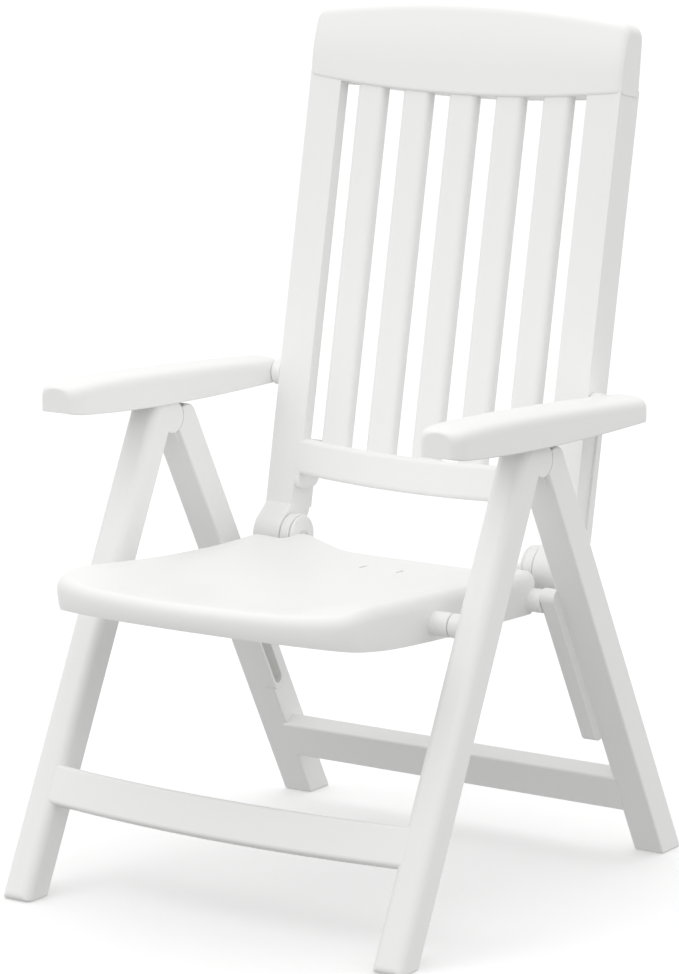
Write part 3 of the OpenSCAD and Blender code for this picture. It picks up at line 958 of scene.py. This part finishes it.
class CHAIR_OT_armrests(bpy.types.Operator):
    """The hollow, crowned armrests with their racks of notches"""

    bl_idname = "chair.armrests"
    bl_label = "Armrests"

    def execute(self, context):
        arms = context.scene.chair_arms
        inner, outer = ARM_LOW.x, ARM_HIGH.x
        mid, half = (inner + outer) / 2, (outer - inner) / 2
        front, rear = ARM_LOW.y, ARM_HIGH.y - 0.0035
        lock = lock_place(context)
        nose, tail = 0.024, 0.010
        level_share = 0.12
        wall = arms.wall

        def top(y):
            share = (y - front) / (rear - front)
            return ARM_HIGH.z - 0.024 * (max(0.0, share - level_share) / (1.0 - level_share)) ** 1.35

        def bottom(y):
            share = (y - front) / (rear - front)
            return ARM_LOW.z + 0.019 * max(0.0, 1.0 - share) ** 2.6

        def ring(y):
            """Section across the armrest, drawn in towards the rounded nose and tail."""
            depth_in = min(y - front, nose)
            plan = nose - math.sqrt(max(0.0, nose ** 2 - (nose - depth_in) ** 2))
            back_in = min(rear - y, tail)
            plan = max(plan, tail - math.sqrt(max(0.0, tail ** 2 - (tail - back_in) ** 2)))
            width = half - 0.62 * plan
            high = top(y) - 0.28 * plan
            low = bottom(y) + 0.06 * plan
            edge = high - 0.0035
            corners = [(mid - width, low), (mid + width, low), (mid + width, edge), (mid, high + 0.0015),
                       (mid - width, edge)]
            soft = arms.round_top
            return rounded(corners, (0.0025, 0.0025, soft, 0.03, soft), 8)

        def cavity(y):
            """Section of the hollow inside the armrest, open below."""
            roof = top(y) - wall - 0.006
            return ((inner + wall, 0.4), (outer - wall - 0.001, 0.4), (outer - wall - 0.001, roof),
                    (inner + wall, roof))

        rows = 90
        shares = [(1 - math.cos(math.pi * i / rows)) / 2 for i in range(rows + 1)]
        places = [front + (rear - front) * share for share in shares]
        hollow_places = [y for y in places if front + 0.010 < y < rear - wall]
        for name, side in SIDES:
            rings = [[Vector((side * x, y, z)) for x, z in ring(y)] for y in places]
            arm = loft(f"armrest_{name}_shell", rings)
            hollow = [[Vector((side * x, y, z)) for x, z in cavity(y)] for y in hollow_places]
            combine(arm, "DIFFERENCE", loft("hollow", hollow))
            parts = [arm]
            rack_mid = (LEG_LOW.x + LEG_HIGH.x) / 2
            rack_front, rack_rear = lock.y - 0.132, lock.y + 0.013
            tip, root = lock.z + 0.007, top(lock.y) - 0.006
            rack = slab("rack", LEVEL, [(rack_front, tip), (rack_rear, tip), (rack_rear, root),
                                        (rack_front, root)], rack_mid - 0.010, rack_mid + 0.010, side)
            for i in range(5):
                notch = rod("notch", (lock.y - i * 0.029, tip - 0.0025), 0.006, inner, outer, side)
                combine(rack, "DIFFERENCE", notch)
            parts.append(rack)
            pivot = PIVOT["arm_fold"]
            hub = rod("hub", (pivot.y, pivot.z), 0.0085, inner + 0.0008, LEG_LOW.x - 0.0004, side)
            parts.append(soften(hub, 0.001, 2))
            join(parts)
            resin_piece(arm, f"armrest_{name}", f"armrest_{name}")
        return {"FINISHED"}


class CHAIR_OT_pins(bpy.types.Operator):
    """The pivot pins, the lock pins, the hinge discs and the armrest spacers"""

    bl_idname = "chair.pins"
    bl_label = "Pins"

    def execute(self, context):
        pins = (("leg_pivot_pin", "front_frame"), ("lock_pin", "front_frame"),
                ("seat_pivot_pin", "front_frame"), ("slide_pin", "seat"),
                ("back_hinge_pin", "hinge_pins"), ("arm_pivot_pin", "arm_pins"))
        discs = (("back_hinge_disc", "hinge_pins"), ("arm_spacer", "arm_pins"))
        for name, side in SIDES:
            for kind, body in pins + discs:
                node = f"{kind}_{name}"
                low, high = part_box(node)
                near, far = sorted((abs(low.x), abs(high.x)))
                centre = ((low.y + high.y) / 2, (low.z + high.z) / 2)
                piece = rod(f"{node}_turned", centre, (high.z - low.z) / 2, near, far, side, 72)
                if (kind, body) in discs:
                    soften(piece, 0.0016, 4)
                    resin_piece(piece, body, node)
                else:
                    soften(piece, 0.0008, 3)
                    finish_piece(piece, body, pin_resin(), "pin_resin", node)
        return {"FINISHED"}


class CHAIR_OT_stage(bpy.types.Operator):
    """Pale floor, soft studio light and the camera"""

    bl_idname = "chair.stage"
    bl_label = "Stage"

    def execute(self, context):
        scene = context.scene
        bm = bmesh.new()
        bmesh.ops.create_grid(bm, x_segments=1, y_segments=1, size=60.0)
        bmesh.ops.translate(bm, verts=bm.verts, vec=(0.0, 0.0, -0.0005))
        floor = mesh_object("floor", bm)
        paint = bpy.data.materials.new("studio_floor")
        paint.use_nodes = True
        shader = paint.node_tree.nodes["Principled BSDF"]
        shader.inputs["Base Color"].default_value = (0.90, 0.90, 0.90, 1.0)
        shader.inputs["Roughness"].default_value = 1.0
        shader.inputs["Specular IOR Level"].default_value = 0.0
        shader.inputs["Emission Color"].default_value = (1.0, 1.0, 1.0, 1.0)
        shader.inputs["Emission Strength"].default_value = 0.16
        floor.data.materials.append(paint)
        floor.visible_diffuse = False

        world = bpy.data.worlds.new("studio")
        world.use_nodes = True
        sky = world.node_tree
        place = node_out(sky, "ShaderNodeTexCoord")
        height = node_out(sky, "ShaderNodeSeparateXYZ", values={0: place}, output=2)
        glow = 0.36 + 0.64 * height.smoothstep(-0.65, 0.35)
        sky.links.new(glow.socket, sky.nodes["Background"].inputs["Strength"])
        sky.nodes["Background"].inputs["Color"].default_value = (1.0, 1.0, 1.0, 1.0)
        scene.world = world

        def area(name, place, aim, size, power):
            data = bpy.data.lights.new(name, "AREA")
            data.shape = "DISK"
            data.size = size
            data.energy = power
            lamp = bpy.data.objects.new(name, data)
            lamp.location = place
            lamp.rotation_euler = (Vector(aim) - Vector(place)).to_track_quat("-Z", "Y").to_euler()
            scene.collection.objects.link(lamp)

        area("key", (-1.4, -2.6, 3.6), (0, 0, 0.5), 2.2, 16)
        area("top", (-0.3, 0.4, 3.8), (0, 0, 0.5), 2.6, 8)

        # The camera stands to the right of the front, above the armrests, and looks a little down
        azimuth, elevation = math.radians(33.506), math.radians(11.011)
        back = Vector((math.sin(azimuth) * math.cos(elevation), -math.cos(azimuth) * math.cos(elevation),
                       math.sin(elevation)))
        data = bpy.data.cameras.new("camera")
        data.sensor_fit = "VERTICAL"
        data.sensor_height = 36.0
        data.lens = 152.9
        camera = bpy.data.objects.new("camera", data)
        camera.location = (2.806339, -4.232913, 1.493325)
        camera.rotation_euler = back.to_track_quat("Z", "Y").to_euler()
        scene.collection.objects.link(camera)
        scene.camera = camera
        scene.view_settings.view_transform = "Standard"
        return {"FINISHED"}


def main():
    """Registers the add-on and builds every piece."""
    register()
    for operator in OPERATORS:
        kind, name = operator.bl_idname.split(".")
        getattr(getattr(bpy.ops, kind), name)()


OPERATORS = (CHAIR_OT_front_legs, CHAIR_OT_rear_legs, CHAIR_OT_slide_tracks, CHAIR_OT_rails,
             CHAIR_OT_slats, CHAIR_OT_head_cap, CHAIR_OT_stiles, CHAIR_OT_seat, CHAIR_OT_armrests,
             CHAIR_OT_pins, CHAIR_OT_stage)
SETTINGS = (("chair_legs", ChairLegs), ("chair_back", ChairBack), ("chair_seat", ChairSeat),
            ("chair_arms", ChairArms), ("chair_finish", ChairFinish))


class CHAIR_PT_panel(bpy.types.Panel):
    bl_label = "Folding Armchair"
    bl_idname = "CHAIR_PT_panel"
    bl_space_type = "VIEW_3D"
    bl_region_type = "UI"
    bl_category = "Armchair"

    def draw(self, context):
        for operator in OPERATORS:
            self.layout.operator(operator.bl_idname)


def register():
    for name, group in SETTINGS:
        bpy.utils.register_class(group)
        setattr(bpy.types.Scene, name, PointerProperty(type=group))
    for part in (*OPERATORS, CHAIR_PT_panel):
        bpy.utils.register_class(part)


def unregister():
    for part in reversed((*OPERATORS, CHAIR_PT_panel)):
        bpy.utils.unregister_class(part)
    for name, group in reversed(SETTINGS):
        delattr(bpy.types.Scene, name)
        bpy.utils.unregister_class(group)


if __name__ == "__main__":
    main()
